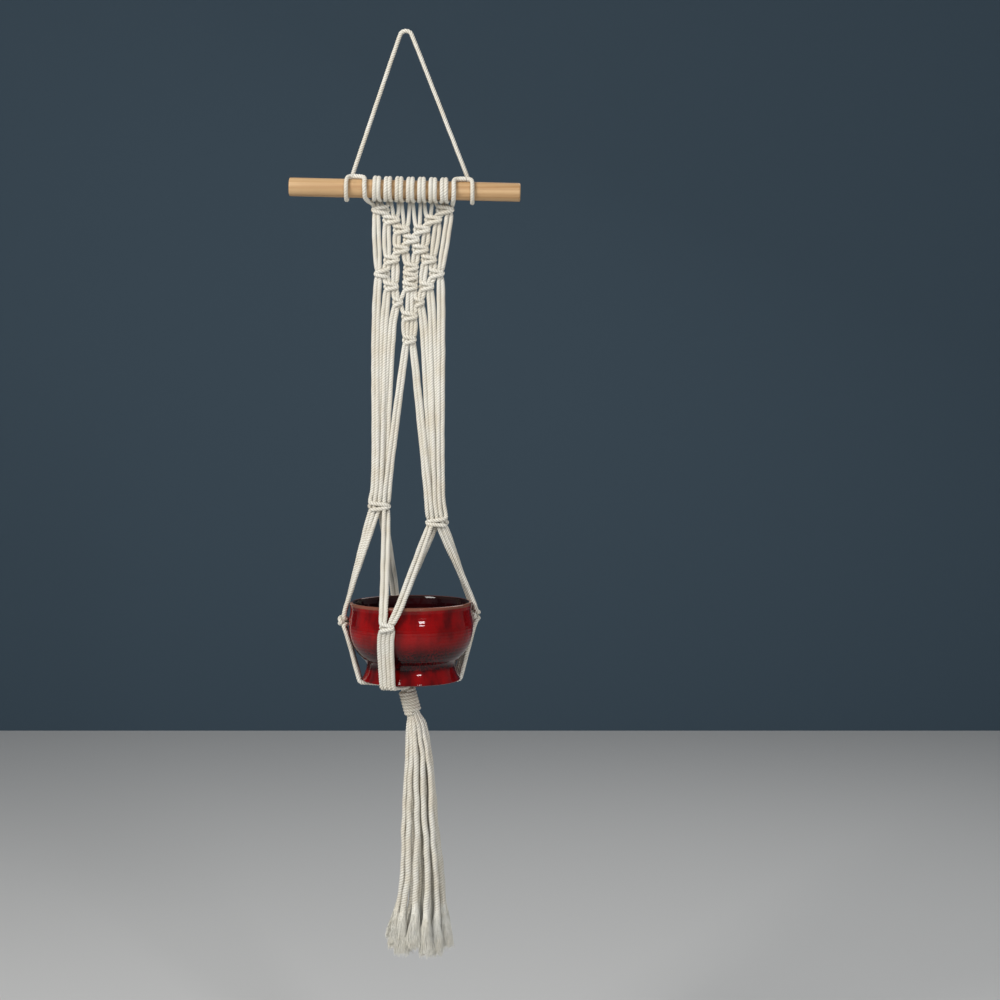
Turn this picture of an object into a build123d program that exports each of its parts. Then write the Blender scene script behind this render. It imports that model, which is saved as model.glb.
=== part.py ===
from build123d import *
import math
import os
from dataclasses import dataclass

# A macrame plant hanger with its pot, in millimetres. +Z is up and the front looks along -Y.
# The origin is the seat of the hanging loop, where the loop's inside rests on a hook.

# Cord. It is cotton, so it draws in where a knot grips it and more where the wrap binds it.
CORD = 3.1
GRIPPED = 2.9
BOUND = 1.95
LOOP_CORD = 3.3
WRAP_CORD = 2.5
STRANDS = 16

# Section of every cord but the tassel's: a polygon a little inside the cord's round outline, so
# that cords pressed together share no solid. CLEAR is the gap to a piece that moves by itself.
SIDES = 6
SECTION = 0.95
CLEAR = 0.35

# Dowel, which hangs with its right end a little low.
DOWEL_LENGTH = 200.0
DOWEL_RADIUS = 8.0
DOWEL_EDGE = 0.8
DOWEL_SLOPE = 1.4
DOWEL_CENTRE = Vector(-1.3, 0, -134.0)

# Hanging loop: the hook's radius, each leg's angle from the vertical, and each hitch on the dowel.
HOOK_RADIUS = 4.0
LEG_ANGLES = (22.5, 25.0)
HITCH_LEFT = -50.2
HITCH_RIGHT = 58.6
OUTER_LEFT = -34.3
OUTER_RIGHT = 42.4
HITCH_ANGLE = 78.0
HITCH_TAIL = 5.2
HITCH_GAP = 0.45

# Lark's heads, side by side on the dowel, each from one doubled cord.
HEADS = 7
HEAD_PITCH = 9.7
HEAD_MIDDLE = 5.0
HEAD_BACK_WIDTH = 2.35
HEAD_FRONT_WIDTH = 3.0
WRAP_STEP = 30
TAIL_CLEARS_BAR = 8.0

# Knotted panel. At each level: the panel's middle and the spacing of its strands.
PANEL = ((-147.3, 5.3, 4.70), (-193.6, 2.7, 4.10), (-220.0, 1.3, 3.80), (-255.0, 0.9, 3.60))
PANEL_DEPTH = 9.6
KNOT_SHARE = 0.93
KNOT_HEIGHT = 2.45
ROWS = (
    (-150.9, ((1, 4), (13, 16))),
    (-159.4, ((3, 6), (11, 14))),
    (-167.9, ((5, 8), (9, 12))),
    (-176.4, ((7, 10),)),
    (-184.9, ((5, 8), (9, 12))),
    (-194.0, ((3, 6), (11, 14))),
    (-206.0, ((1, 4), (13, 16))),
    (-217.1, ((3, 6), (11, 14))),
    (-230.8, ((5, 7), (10, 12))),
)

# Middle strands: a sennit of square knots, then a full knot and a tight one. Below, the side
# columns hang as flat bands with their first strand and spacing at one level.
SENNIT_TOP, SENNIT_KNOTS, SENNIT_STEP, SENNIT_PITCH = -196.9, 3, 8.4, 3.5
DROP_KNOT_TOP, DROP_KNOT_PITCH = -239.5, 3.9
NECK_KNOT_TOP, NECK_KNOT_PITCH = -260.0, 3.2
MIDDLE_SHIFT = 1.0
COLUMN_Z = -255.0
LEFT_COLUMN, LEFT_COLUMN_PITCH = -29.7, 3.52
RIGHT_COLUMN, RIGHT_COLUMN_PITCH = 13.4, 3.62
COLUMN_LAST_LEFT, COLUMN_FIRST_RIGHT = 6, 11

# Group knots, where eight strands gather on each side.
GROUP_LEFT = Vector(-24.6, 2.6, -405.2)
GROUP_RIGHT = Vector(25.9, 2.6, -419.2)
GROUP_PITCH = 4.3
GROUP_WIDTH = 2.9
GROUP_APPROACH = 17.0
MIRROR_X = 0.65

# Pot, turned about an upright axis.
POT_X = 3.0
RIM_TOP, RIM_RADIUS = -492.0, 53.5
NECK_RADIUS, NECK_Z = 52.3, -499.8
SHOULDER_RADIUS, SHOULDER_Z = 53.2, -505.2
BELLY_RADIUS, BELLY_Z = 54.4, -512.7
LOWER_RADIUS, LOWER_Z = 50.7, -527.6
TAPER_RADIUS, TAPER_Z = 41.4, -541.2
WAIST_RADIUS, WAIST_Z = 39.2, -546.8
FOOT_RADIUS, FOOT_Z = 43.2, -560.7
POT_WALL = 3.6
POT_FLOOR, POT_FLOOR_RADIUS = 5.0, 31.6
FOOT_RECESS_RADIUS, FOOT_RECESS = 36.0, 1.6

# Cradle: the four directions round the pot, from the front towards +X, and the knot level of each.
FRONT, RIGHT, BACK, LEFT = -21.0, 105.0, 193.0, -90.0
CRADLE_KNOT_Z = {FRONT: -504.4, RIGHT: -502.6, BACK: -504.6, LEFT: -505.6}
CRADLE_KNOT_RADIUS = 59.2
CRADLE_PITCH = 3.9
CRADLE_WIDTH = 2.9
RIM_TOUCH_RADIUS, RIM_TOUCH_Z = 55.3, -491.0

# Gathering wrap under the pot, with the ends of its axis, and the bundle it binds.
WRAP_TOP = Vector(-1.1, 0, -568.6)
WRAP_BOTTOM = Vector(4.9, 0, -591.0)
WRAP_TURNS = 7
BUNDLE_INNER = 0.72 * BOUND
BUNDLE_OUTER = 1.95 * BOUND

# Tassel: how the cords spring open below the wrap, then at each level the tassel's middle and the
# radius of its outer strands.
FLARE, FLARE_SPREAD = 9.0, 7.4
TASSEL = (
    (-624.0, 9.9, 9.8),
    (-655.0, 10.4, 12.2),
    (-695.0, 10.8, 14.4),
    (-738.0, 11.9, 17.4),
    (-769.0, 10.0, 21.3),
)
TASSEL_END = -795.0
TASSEL_RAGGED = 5.5
TASSEL_INNER = 0.42
TASSEL_SWAY = 5.0


def cord_tube(stations):
    """One unbroken faceted tube. Each station is a point and the cord's width there.

    The section turns with the route and is cut at each station by the plane that halves the turn.
    """
    points = [Vector(p) for p, _ in stations]
    runs = [(b - a).normalized() for a, b in zip(points, points[1:])]
    side = runs[0].cross(Vector(0, 0, 1))
    if side.length < 0.1:
        side = runs[0].cross(Vector(1, 0, 0))
    side = side.normalized()
    other = runs[0].cross(side)
    angles = [2 * math.pi * k / SIDES for k in range(SIDES)]
    corners = [(side * math.cos(a) + other * math.sin(a)) * (SECTION / 2) for a in angles]
    rings = []
    for i, (point, width) in enumerate(stations):
        before, after = runs[max(i - 1, 0)], runs[min(i, len(runs) - 1)]
        plane = (before + after).normalized()
        cut = [c - before * (c.dot(plane) / before.dot(plane)) for c in corners]
        rings.append([Vector(point) + c * width for c in cut])
        corners = [c - after * c.dot(after) for c in cut]
    faces = [Face(Wire.make_polygon(ring, close=True)) for ring in (rings[0], rings[-1])]
    for i, (a, b) in enumerate(zip(rings, rings[1:])):
        tapers = stations[i][1] != stations[i + 1][1]
        for k in range(SIDES):
            j = (k + 1) % SIDES
            if tapers:
                outlines = ([a[k], a[j], b[j]], [a[k], b[j], b[k]])
            else:
                outlines = ([a[k], a[j], b[j], b[k]],)
            faces += [Face(Wire.make_polygon(o, close=True)) for o in outlines]
    return Solid(Shell(faces))


def route_length(points):
    return sum((b - a).length for a, b in zip(points, points[1:]))


def turn_radii(points):
    """The radius of the arc that each corner of a free cord allows: 0.45 of the shorter run."""
    radii = []
    for a, b, c in zip(points, points[1:], points[2:]):
        half = math.radians((b - a).get_angle(c - b)) / 2
        if half > 1e-3:
            radii.append(0.45 * min((b - a).length, (c - b).length) / math.tan(half))
    return radii


def on_dowel(along, angle, radius):
    """A point beside the dowel. The angle is 0 at the front, 90 on top, 180 at the back."""
    slope, a = math.radians(DOWEL_SLOPE), math.radians(angle)
    up = radius * math.sin(a)
    return DOWEL_CENTRE + Vector(
        along * math.cos(slope) + up * math.sin(slope),
        -radius * math.cos(a),
        up * math.cos(slope) - along * math.sin(slope),
    )


def wrap_radius(width):
    """How far from the dowel's axis a cord's corners stand, so that its flats clear the wood."""
    return (DOWEL_RADIUS + CLEAR + width / 2) / math.cos(math.radians(WRAP_STEP / 2))


def panel_at(z):
    """The panel's middle and strand spacing at a level, between the levels given above."""
    z = max(PANEL[-1][0], min(PANEL[0][0], z))
    upper, lower = next(pair for pair in zip(PANEL, PANEL[1:]) if pair[1][0] <= z)
    share = (upper[0] - z) / (upper[0] - lower[0])
    return tuple(a + (b - a) * share for a, b in zip(upper[1:], lower[1:]))


def panel_x(strand, z):
    middle, pitch = panel_at(z)
    return middle + (strand - (STRANDS + 1) / 2) * pitch


def panel_y(z):
    """The panel leans from the back of the dowel to the middle of the pot."""
    return PANEL_DEPTH * (z - BELLY_Z) / (DOWEL_CENTRE.Z - BELLY_Z)


@dataclass
class Knot:
    """A square knot: two working strands cross in front of and behind the fillers, and back.

    top is the middle of its upper edge and facing is the azimuth its front looks towards.
    fillers are (column, layer) places, and strands lists left worker, fillers, right worker.
    """

    strands: tuple
    top: Vector
    pitch: float
    width: float
    facing: float = 0.0
    layers: int = 1
    front: str = "left"

    def place(self, across, depth, down):
        a = math.radians(self.facing)
        return self.top + Vector(
            across * math.cos(a) - depth * math.sin(a),
            across * math.sin(a) + depth * math.cos(a),
            -down,
        )

    @property
    def columns(self):
        return (len(self.strands) - 2) // self.layers

    def filler(self, order):
        column, layer = divmod(order, self.layers)
        across = (column - (self.columns - 1) / 2) * self.pitch
        depth = (layer - (self.layers - 1) / 2) * self.width * 1.02
        height = KNOT_HEIGHT * self.width
        return [self.place(across, depth, share * height) for share in (0.04, 0.96)]

    def worker(self, side):
        """side is -1 for the strand that starts at the left and 1 for the right."""
        edge = (self.columns + 1) / 2 * self.pitch
        inner = edge - 0.72 * self.pitch
        in_front = (side < 0) == (self.front == "left")
        depth = (-1 if in_front else 1) * (self.layers + 1) / 2 * self.width * 1.02
        turn = math.copysign(0.65 * self.width, depth)
        half = [
            (side * edge, 0.0, 0.22),
            (side * inner, depth, 0.42),
            (-side * inner, depth, 0.58),
            (-side * edge, turn, 0.78),
        ]
        other = [(across, d, KNOT_HEIGHT - down) for across, d, down in reversed(half)]
        return [self.place(a, d, down * self.width) for a, d, down in half + other]

    def route(self, strand):
        order = self.strands.index(strand)
        if order == 0:
            points = self.worker(-1)
        elif order == len(self.strands) - 1:
            points = self.worker(1)
        else:
            points = self.filler(order - 1)
        return [(p, self.width) for p in points]


def column_point(strand):
    """Where a side strand hangs in its flat column below the panel."""
    if strand < STRANDS / 2:
        x = LEFT_COLUMN + (strand - 1) * LEFT_COLUMN_PITCH
    else:
        x = RIGHT_COLUMN + (strand - COLUMN_FIRST_RIGHT) * RIGHT_COLUMN_PITCH
    return Vector(x, panel_y(COLUMN_Z), COLUMN_Z)


def panel_knots():
    """The alternating rows, the middle sennit and the two knots below it, from the top down."""
    knots = []
    for z, groups in ROWS:
        top = z + KNOT_HEIGHT * GRIPPED / 2
        for first, last in groups:
            middle = (panel_x(first, z) + panel_x(last, z)) / 2
            knots.append(
                Knot(
                    strands=tuple(range(first, last + 1)),
                    top=Vector(middle, panel_y(z), top),
                    pitch=panel_at(z)[1] * KNOT_SHARE,
                    width=GRIPPED,
                    front="right" if first == 1 else "left",
                )
            )
    middle_tops = [(SENNIT_TOP - i * SENNIT_STEP, SENNIT_PITCH) for i in range(SENNIT_KNOTS)]
    middle_tops += [(DROP_KNOT_TOP, DROP_KNOT_PITCH), (NECK_KNOT_TOP, NECK_KNOT_PITCH)]
    for z, pitch in middle_tops:
        middle = (panel_x(7, z) + panel_x(10, z)) / 2
        centre = Vector(middle + MIDDLE_SHIFT, panel_y(z), z)
        knots.append(Knot(strands=(7, 8, 9, 10), top=centre, pitch=pitch, width=GRIPPED))
    return sorted(knots, key=lambda k: -k.top.Z)


def group_knots():
    left = Knot((1, 2, 3, 4, 5, 7, 6, 8), GROUP_LEFT, GROUP_PITCH, GROUP_WIDTH, layers=2)
    right = Knot((9, 10, 11, 13, 12, 15, 14, 16), GROUP_RIGHT, GROUP_PITCH, GROUP_WIDTH, layers=2)
    right.front = "right"
    return [left, right]


def round_pot(azimuth, radius, across, z):
    """A point in a direction round the pot, moved across it, at a level."""
    a = math.radians(azimuth)
    return Vector(
        POT_X + radius * math.sin(a) + across * math.cos(a),
        -radius * math.cos(a) + across * math.sin(a),
        z,
    )


CRADLE = {
    FRONT: (7, 8, 9, 10),
    RIGHT: (15, 13, 16, 14),
    BACK: (12, 11, 6, 5),
    LEFT: (3, 1, 2, 4),
}


def cradle_knot(azimuth):
    return Knot(
        strands=CRADLE[azimuth],
        top=round_pot(azimuth, CRADLE_KNOT_RADIUS, 0, CRADLE_KNOT_Z[azimuth]),
        pitch=CRADLE_PITCH,
        width=CRADLE_WIDTH,
        facing=azimuth,
    )


WRAP_AXIS = (WRAP_BOTTOM - WRAP_TOP).normalized()
WRAP_ACROSS = Vector(-WRAP_AXIS.Z, 0, WRAP_AXIS.X)
BUNDLE_TURN = {FRONT: -12.0, RIGHT: 78.0, BACK: 168.0, LEFT: 258.0}


def bundle_offset(azimuth, order, spread=0.0):
    """Where a strand of a cradle group lies in the bound bundle: three outside, one inside."""
    inner = order == 2
    radius = (BUNDLE_INNER if inner else BUNDLE_OUTER) + spread
    turn = BUNDLE_TURN[azimuth] + {0: -30, 1: 0, 2: 0, 3: 30}[order]
    a = math.radians(turn)
    return WRAP_ACROSS * (radius * math.sin(a)) - Vector(0, 1, 0) * (radius * math.cos(a))


def below_pot(azimuth, order):
    """From the cradle knot down the belly, round the foot, in to the middle and through the wrap."""
    across = (order - 1.5) * CRADLE_PITCH
    inner = order == 2
    aside, level = ((-3.3, -564.9), (-0.5, -565.4), (0.5, -562.6), (3.3, -564.9))[order]
    toward_wrap = 14.0 - POT_X * math.sin(math.radians(azimuth))
    stations = [
        (round_pot(azimuth, 56.0, across, -519.5), CORD),
        (round_pot(azimuth, 45.7, across * 0.95, FOOT_Z + 1.8), CORD),
        (round_pot(azimuth, 44.5, across * 0.93, FOOT_Z - 2.0), CORD),
        (round_pot(azimuth, 38.0, across * 0.85, FOOT_Z - 2.0), CORD),
        (round_pot(azimuth, toward_wrap, aside, level), 2.4),
    ]
    turn_level = -562.9 if inner else -565.2
    for spread, drop, width in ((2.8, 0.0, 2.1), (0.5, 0.8, BOUND)):
        offset = bundle_offset(azimuth, order, spread)
        stations.append((Vector(WRAP_TOP.X + offset.X, offset.Y, turn_level - drop), width))
    bound = bundle_offset(azimuth, order)
    stations.append((WRAP_TOP - WRAP_AXIS * (2.4 if inner else 0.2) + bound, BOUND))
    stations.append((WRAP_BOTTOM + bound, BOUND))
    flare = WRAP_BOTTOM + WRAP_AXIS * FLARE + bound * (FLARE_SPREAD / BUNDLE_OUTER)
    below = tail_points(azimuth, order)[0]
    stations.append((flare, CORD))
    stations.append((flare + (below - flare).normalized() * 3.0, CORD))
    return stations


def tail_points(azimuth, order):
    """Where one free end of the tassel hangs, from the first level below the wrap to its cut."""
    strand = CRADLE[azimuth][order]
    turn = BUNDLE_TURN[azimuth] + (-30, 0, 0, 30)[order]
    end = (TASSEL_END + TASSEL_RAGGED * math.sin(2.4 * strand), 9.0, 23.0)
    points = []
    for i, (z, middle, radius) in enumerate([*TASSEL, end]):
        a = math.radians(turn + TASSEL_SWAY * math.sin(2.1 * strand + 2.2 * i))
        out = radius * (TASSEL_INNER if order == 2 else 1.0)
        out *= 1 + 0.06 * math.sin(1.7 * strand + 0.9 * i)
        points.append(Vector(middle + out * math.sin(a), -out * math.cos(a) * 0.85, z))
    return points


def tassel_tail(azimuth, order):
    """One free end as a tube on straight runs and arcs, each arc as large as its runs allow."""
    points = [below_pot(azimuth, order)[-1][0], *tail_points(azimuth, order)]
    path = FilletPolyline(*points, radius=turn_radii(points))
    section = Plane(path @ 0, z_dir=path % 0) * RegularPolygon(CORD * SECTION / 2, SIDES)
    return points, sweep(section, path=path)


def lark_head(strand):
    """Half of a reverse lark's head, from the bar behind to the tail that hangs at the back."""
    head, side = strand // 2, (-1 if strand % 2 == 0 else 1)
    middle = HEAD_MIDDLE + (head - (HEADS + 1) / 2) * HEAD_PITCH
    radius = wrap_radius(HEAD_BACK_WIDTH)
    bar = radius + HEAD_BACK_WIDTH * 1.05
    stations = [
        (on_dowel(middle + side * 2.6, -174, bar), HEAD_BACK_WIDTH),
        (on_dowel(middle + side * 3.6, -164, bar - 0.9), HEAD_BACK_WIDTH),
    ]
    for angle in range(-150, 181, WRAP_STEP):
        front = -60 <= angle <= 60
        width = HEAD_FRONT_WIDTH if front else HEAD_BACK_WIDTH
        if angle < -90:
            out = 3.6
        elif angle == -90:
            out = 2.7
        else:
            out = 1.7 if front else 1.35 if angle < 150 else 1.21
        stations.append((on_dowel(middle + side * out, angle, wrap_radius(width)), width))
    tail = on_dowel(middle + side * 1.4, 180, radius) - Vector(0, 0, TAIL_CLEARS_BAR)
    stations.append((tail, HEAD_BACK_WIDTH))
    return stations


def outer_strand(side):
    """The hanging cord's tail: along the top of the dowel, over its front and under it."""
    hitch, turn = (HITCH_LEFT, OUTER_LEFT) if side < 0 else (HITCH_RIGHT, OUTER_RIGHT)
    radius = wrap_radius(LOOP_CORD)
    start = hitch - side * (HITCH_TAIL + HITCH_GAP)
    stations = [(on_dowel(start, HITCH_ANGLE, radius), LOOP_CORD)]
    stations.append((on_dowel(turn + side * 2.4, HITCH_ANGLE, radius), CORD))
    for angle in (56, 28, 0, -28, -62):
        stations.append((on_dowel(turn, angle, wrap_radius(CORD)), CORD))
    outer = 1 if side < 0 else STRANDS
    knot = next(k for k in PANEL_KNOTS if outer in k.strands)
    stations.append((knot.worker(side)[0] + Vector(0, -0.4, 1.9), CORD))
    return stations


def strand_route(strand):
    """A strand's stations from the dowel to the wrap's lower end."""
    if strand == 1:
        stations = outer_strand(-1)
    elif strand == STRANDS:
        stations = outer_strand(1)
    else:
        stations = lark_head(strand)
    for knot in PANEL_KNOTS:
        if strand in knot.strands:
            stations += knot.route(strand)
    if strand <= COLUMN_LAST_LEFT or strand >= COLUMN_FIRST_RIGHT:
        stations.append((column_point(strand), CORD))
    left = strand <= STRANDS // 2
    group = GROUP_KNOTS[0 if left else 1]
    stations.append((group_approach(strand, group), CORD))
    stations += group.route(strand)
    azimuth = next(a for a, strands in CRADLE.items() if strand in strands)
    order = CRADLE[azimuth].index(strand)
    across = (order - 1.5) * CRADLE_PITCH
    stations.append((round_pot(azimuth, RIM_TOUCH_RADIUS, across, RIM_TOUCH_Z), CORD))
    stations += cradle_knot(azimuth).route(strand)
    return stations + below_pot(azimuth, order)


def group_approach(strand, group):
    """Where the strands close up before a group knot: six from the side columns, two in front."""
    places = {1: (-28.9, 0), 2: (-25.7, -1), 3: (-25.7, 1), 4: (-22.3, -1), 5: (-22.3, 1)}
    places |= {6: (-18.9, 1), 7: (-18.9, -1), 8: (-15.6, -0.3)}
    left = strand <= STRANDS // 2
    x, layer = places[strand if left else STRANDS + 1 - strand]
    x = x if left else 2 * MIRROR_X - x
    return Vector(x, group.top.Y + layer * CORD * 0.52, group.top.Z + GROUP_APPROACH)


def hanging_loop():
    """From the left hitch up over the hook and down to the right hitch, as one cord."""
    radius = HOOK_RADIUS + LOOP_CORD / 2 + 0.1
    centre = Vector(0, 0, -HOOK_RADIUS)
    start, end = 180 - LEG_ANGLES[0], LEG_ANGLES[1]
    steps, arc = 5, []
    for i in range(steps + 1):
        a = math.radians(start + (end - start) * i / steps)
        arc.append(centre + Vector(radius * math.cos(a), 0, radius * math.sin(a)))
    points = [*reversed(hitch(-1)), *arc, *hitch(1)]
    return [(p, LOOP_CORD) for p in points]


def hitch(side):
    """A half hitch: down the back of the dowel, round it, up the front and over the leg."""
    middle = HITCH_LEFT if side < 0 else HITCH_RIGHT
    radius = wrap_radius(LOOP_CORD)
    shifts = {120: 3.3, 150: 1.8, 180: 0.5, 420: 0.6}
    points = []
    for angle in range(120, 421, WRAP_STEP):
        points.append(on_dowel(middle - side * shifts.get(angle, 0.0), angle, radius))
    for shift in (2.7, HITCH_TAIL):
        points.append(on_dowel(middle - side * shift, HITCH_ANGLE, radius))
    return points


def winding():
    """The gathering wrap: one helix on biarcs of a quarter turn, with straight ends."""
    radius = BUNDLE_OUTER + BOUND / 2 + 0.2 + WRAP_CORD / 2
    rise = (WRAP_BOTTOM - WRAP_TOP).length - WRAP_CORD
    quarters = 4 * WRAP_TURNS
    slope = rise / quarters / (radius * math.pi / 2)

    def at(quarter):
        a = quarter * math.pi / 2
        along = WRAP_CORD / 2 + rise * quarter / quarters
        out = WRAP_ACROSS * math.sin(a) - Vector(0, 1, 0) * math.cos(a)
        ahead = WRAP_ACROSS * math.cos(a) + Vector(0, 1, 0) * math.sin(a)
        return WRAP_TOP + WRAP_AXIS * along + out * radius, (ahead + WRAP_AXIS * slope).normalized()

    return [at(q) for q in range(quarters + 1)]


def biarc(start, toward, end, leaving):
    """Two tangent arcs from one point and direction to another."""
    span, sum_of_ways = end - start, toward + leaving
    bend = 2 * (1 - toward.dot(leaving))
    reach = span.dot(sum_of_ways)
    handle = (-reach + math.sqrt(reach**2 + bend * span.dot(span))) / bend
    middle = (start + end + (toward - leaving) * handle) * 0.5
    first = Edge.make_tangent_arc(start, toward, middle)
    second = Edge.make_tangent_arc(middle, first % 1, end)
    return [first, second]


def winding_solid():
    stops = winding()
    first, last = stops[0], stops[-1]
    edges = [Edge.make_line(first[0] - first[1] * WRAP_CORD, first[0])]
    for (a, way_a), (b, way_b) in zip(stops, stops[1:]):
        edges += biarc(a, way_a, b, way_b)
    edges.append(Edge.make_line(last[0], last[0] + last[1] * WRAP_CORD))
    path = Wire(edges)
    section = Plane(path @ 0, z_dir=path % 0) * RegularPolygon(WRAP_CORD / 2, SIDES)
    solid = sweep(section, path=path)
    points = [path @ (i / 600) for i in range(601)]
    lap = 600 // (WRAP_TURNS + 1)
    gap = min(
        (points[i] - points[j]).length
        for i in range(601)
        for j in range(i + lap // 2, min(i + 2 * lap, 601))
    )
    print("gathering wrap: least gap to itself", round(gap - WRAP_CORD, 2), "mm")
    report_volume("gathering_wrap", solid, path.length, WRAP_CORD)
    return solid


def report_volume(name, solid, length, width):
    area = SIDES / 2 * (width / 2) ** 2 * math.sin(2 * math.pi / SIDES)
    print(name, "volume", round(solid.volume), "section times length", round(area * length))


def dowel():
    slope = Location(DOWEL_CENTRE, (0, 90 + DOWEL_SLOPE, 0))
    rod = Cylinder(DOWEL_RADIUS, DOWEL_LENGTH)
    rod = chamfer(rod.edges().filter_by(GeomType.CIRCLE), DOWEL_EDGE)
    return slope * rod


def pot():
    """Turned wall: a rolled rim over a soft neck, a full belly, a waist and a flared foot."""
    rim_edge = RIM_TOP - 1.6
    outside = [
        ((RIM_RADIUS, rim_edge), (NECK_RADIUS, NECK_Z), (SHOULDER_RADIUS, SHOULDER_Z)),
        ((SHOULDER_RADIUS, SHOULDER_Z), (BELLY_RADIUS, BELLY_Z), (LOWER_RADIUS, LOWER_Z)),
        ((LOWER_RADIUS, LOWER_Z), (46.6, -534.8), (TAPER_RADIUS, TAPER_Z)),
        ((TAPER_RADIUS, TAPER_Z), (39.8, -543.8), (WAIST_RADIUS, WAIST_Z)),
        ((WAIST_RADIUS, WAIST_Z), (40.3, -553.6), (FOOT_RADIUS, FOOT_Z + 0.8)),
    ]
    lower = (LOWER_RADIUS - POT_WALL, LOWER_Z + 1.5)
    taper = (TAPER_RADIUS - POT_WALL, TAPER_Z + 2.5)
    shoulder = (SHOULDER_RADIUS - POT_WALL, SHOULDER_Z)
    inside = [
        (taper, (43.2, -532.8), lower),
        (lower, (BELLY_RADIUS - POT_WALL, BELLY_Z), shoulder),
        (shoulder, (NECK_RADIUS - POT_WALL, NECK_Z), (RIM_RADIUS - POT_WALL, rim_edge)),
    ]
    arcs = [ThreePointArc(*points) for points in (*outside, *inside)]
    rim_crown = (RIM_RADIUS - POT_WALL / 2, RIM_TOP)
    rim = ThreePointArc((RIM_RADIUS - POT_WALL, rim_edge), rim_crown, (RIM_RADIUS, rim_edge))
    floor = FOOT_Z + POT_FLOOR
    base = Polyline(
        (FOOT_RADIUS, FOOT_Z + 0.8),
        (FOOT_RADIUS - 0.8, FOOT_Z),
        (FOOT_RECESS_RADIUS, FOOT_Z),
        (FOOT_RECESS_RADIUS - 1.0, FOOT_Z + FOOT_RECESS),
        (0, FOOT_Z + FOOT_RECESS),
        (0, floor),
        (POT_FLOOR_RADIUS, floor),
        taper,
    )
    outline = Plane.XZ * make_face([rim, *arcs, base])
    return Pos(POT_X, 0, 0) * revolve(outline, Axis.Z)


PANEL_KNOTS = panel_knots()
GROUP_KNOTS = group_knots()


def write(name, shape):
    shape.label = name
    export_step(shape, f"parts/{name}.step")


def build():
    os.makedirs("parts", exist_ok=True)
    write("dowel", dowel())
    write("pot", pot())
    loop = hanging_loop()
    write("hanging_loop", cord_tube(loop))
    print("hanging loop length", round(route_length([p for p, _ in loop])))
    write("left_outer_strand", cord_tube(strand_route(1)))
    write("right_outer_strand", cord_tube(strand_route(STRANDS)))
    for number in range(1, HEADS + 1):
        left, right = strand_route(2 * number), strand_route(2 * number + 1)
        stations = list(reversed(left)) + right
        solid = cord_tube(stations)
        write(f"cord_{number}", solid)
        print(f"cord_{number} length", round(route_length([p for p, _ in stations])))
    write("gathering_wrap", winding_solid())
    for azimuth, strands in CRADLE.items():
        for order, strand in enumerate(strands):
            points, solid = tassel_tail(azimuth, order)
            name = f"tassel_tail_{strand:02d}"
            write(name, solid)
            radii = [round(r) for r in turn_radii(points)]
            print(name, "length", round(route_length(points)), "arc radii", radii)
            report_volume(name, solid, route_length(points), CORD * SECTION)


build()
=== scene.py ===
"""Visual model of a macrame plant hanger with its glazed pot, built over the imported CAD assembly."""

import logging
import math
from collections.abc import Sequence
from dataclasses import dataclass, field
from enum import Enum
from typing import Any

import bpy
import numpy as np
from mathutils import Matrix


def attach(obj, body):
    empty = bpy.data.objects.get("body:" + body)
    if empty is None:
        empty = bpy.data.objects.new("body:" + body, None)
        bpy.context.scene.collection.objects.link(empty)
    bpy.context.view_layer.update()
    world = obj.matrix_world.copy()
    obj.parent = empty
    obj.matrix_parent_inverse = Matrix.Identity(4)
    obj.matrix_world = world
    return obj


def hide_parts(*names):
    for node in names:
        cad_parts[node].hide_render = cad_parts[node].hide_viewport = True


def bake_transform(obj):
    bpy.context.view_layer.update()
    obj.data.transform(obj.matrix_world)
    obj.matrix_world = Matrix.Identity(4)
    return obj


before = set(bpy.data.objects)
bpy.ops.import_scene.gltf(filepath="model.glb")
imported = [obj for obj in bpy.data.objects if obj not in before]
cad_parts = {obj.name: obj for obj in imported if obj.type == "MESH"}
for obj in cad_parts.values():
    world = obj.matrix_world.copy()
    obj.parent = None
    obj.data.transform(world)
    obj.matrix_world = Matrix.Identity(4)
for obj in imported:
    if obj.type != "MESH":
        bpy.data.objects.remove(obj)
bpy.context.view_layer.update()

MM = 0.001

log = logging.getLogger("plant_hanger")

Array = np.ndarray
Point = tuple[float, float, float]
Station = tuple[Array, float]


class Body(Enum):
    """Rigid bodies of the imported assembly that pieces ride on."""

    LOOP = "loop"
    MACRAME = "macrame"
    ROD = "rod"
    PLANTER = "planter"


class Slot(Enum):
    """Material slots of the record."""

    COTTON = "cotton"
    WOOD = "wood"
    GLAZE = "glaze"


class Side(Enum):
    """Left or right half of the hanger, as the sign of X."""

    LEFT = -1
    RIGHT = 1


class Heading(Enum):
    """The cradle's four directions round the pot, in degrees from the front towards +X."""

    FRONT = -17.5
    RIGHT = 110.0
    BACK = 193.0
    LEFT = -90.0


def vec(x: float, y: float, z: float) -> Array:
    """Return a point or direction as an array of three numbers."""
    return np.array([x, y, z], dtype=float)


def unit(vector: Array) -> Array:
    """Return the vector scaled to length one."""
    return vector / np.linalg.norm(vector)


# Finishes of the cord, the dowel and the pot


@dataclass(frozen=True)
class CottonFinish:
    """Colours and relief of twisted cotton cord."""

    name: str = "cotton_cord"
    light: Point = (0.77, 0.755, 0.69)
    warm: Point = (0.70, 0.655, 0.555)
    # Painted shade in the grooves between the plies.
    groove: Point = (0.34, 0.285, 0.21)
    roughness: float = 0.92
    fibre_depth: float = 0.00025


# A paler copy of the cord's colours for the fringe: partly the paler look of combed-out fibres, partly
# painted light that lifts the fibres out of their own shadow.
COMBED_LIT_COTTON = CottonFinish(
    name="combed_cotton",
    light=(0.88, 0.87, 0.81),
    warm=(0.84, 0.81, 0.72),
    groove=(0.50, 0.44, 0.34),
)


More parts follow.
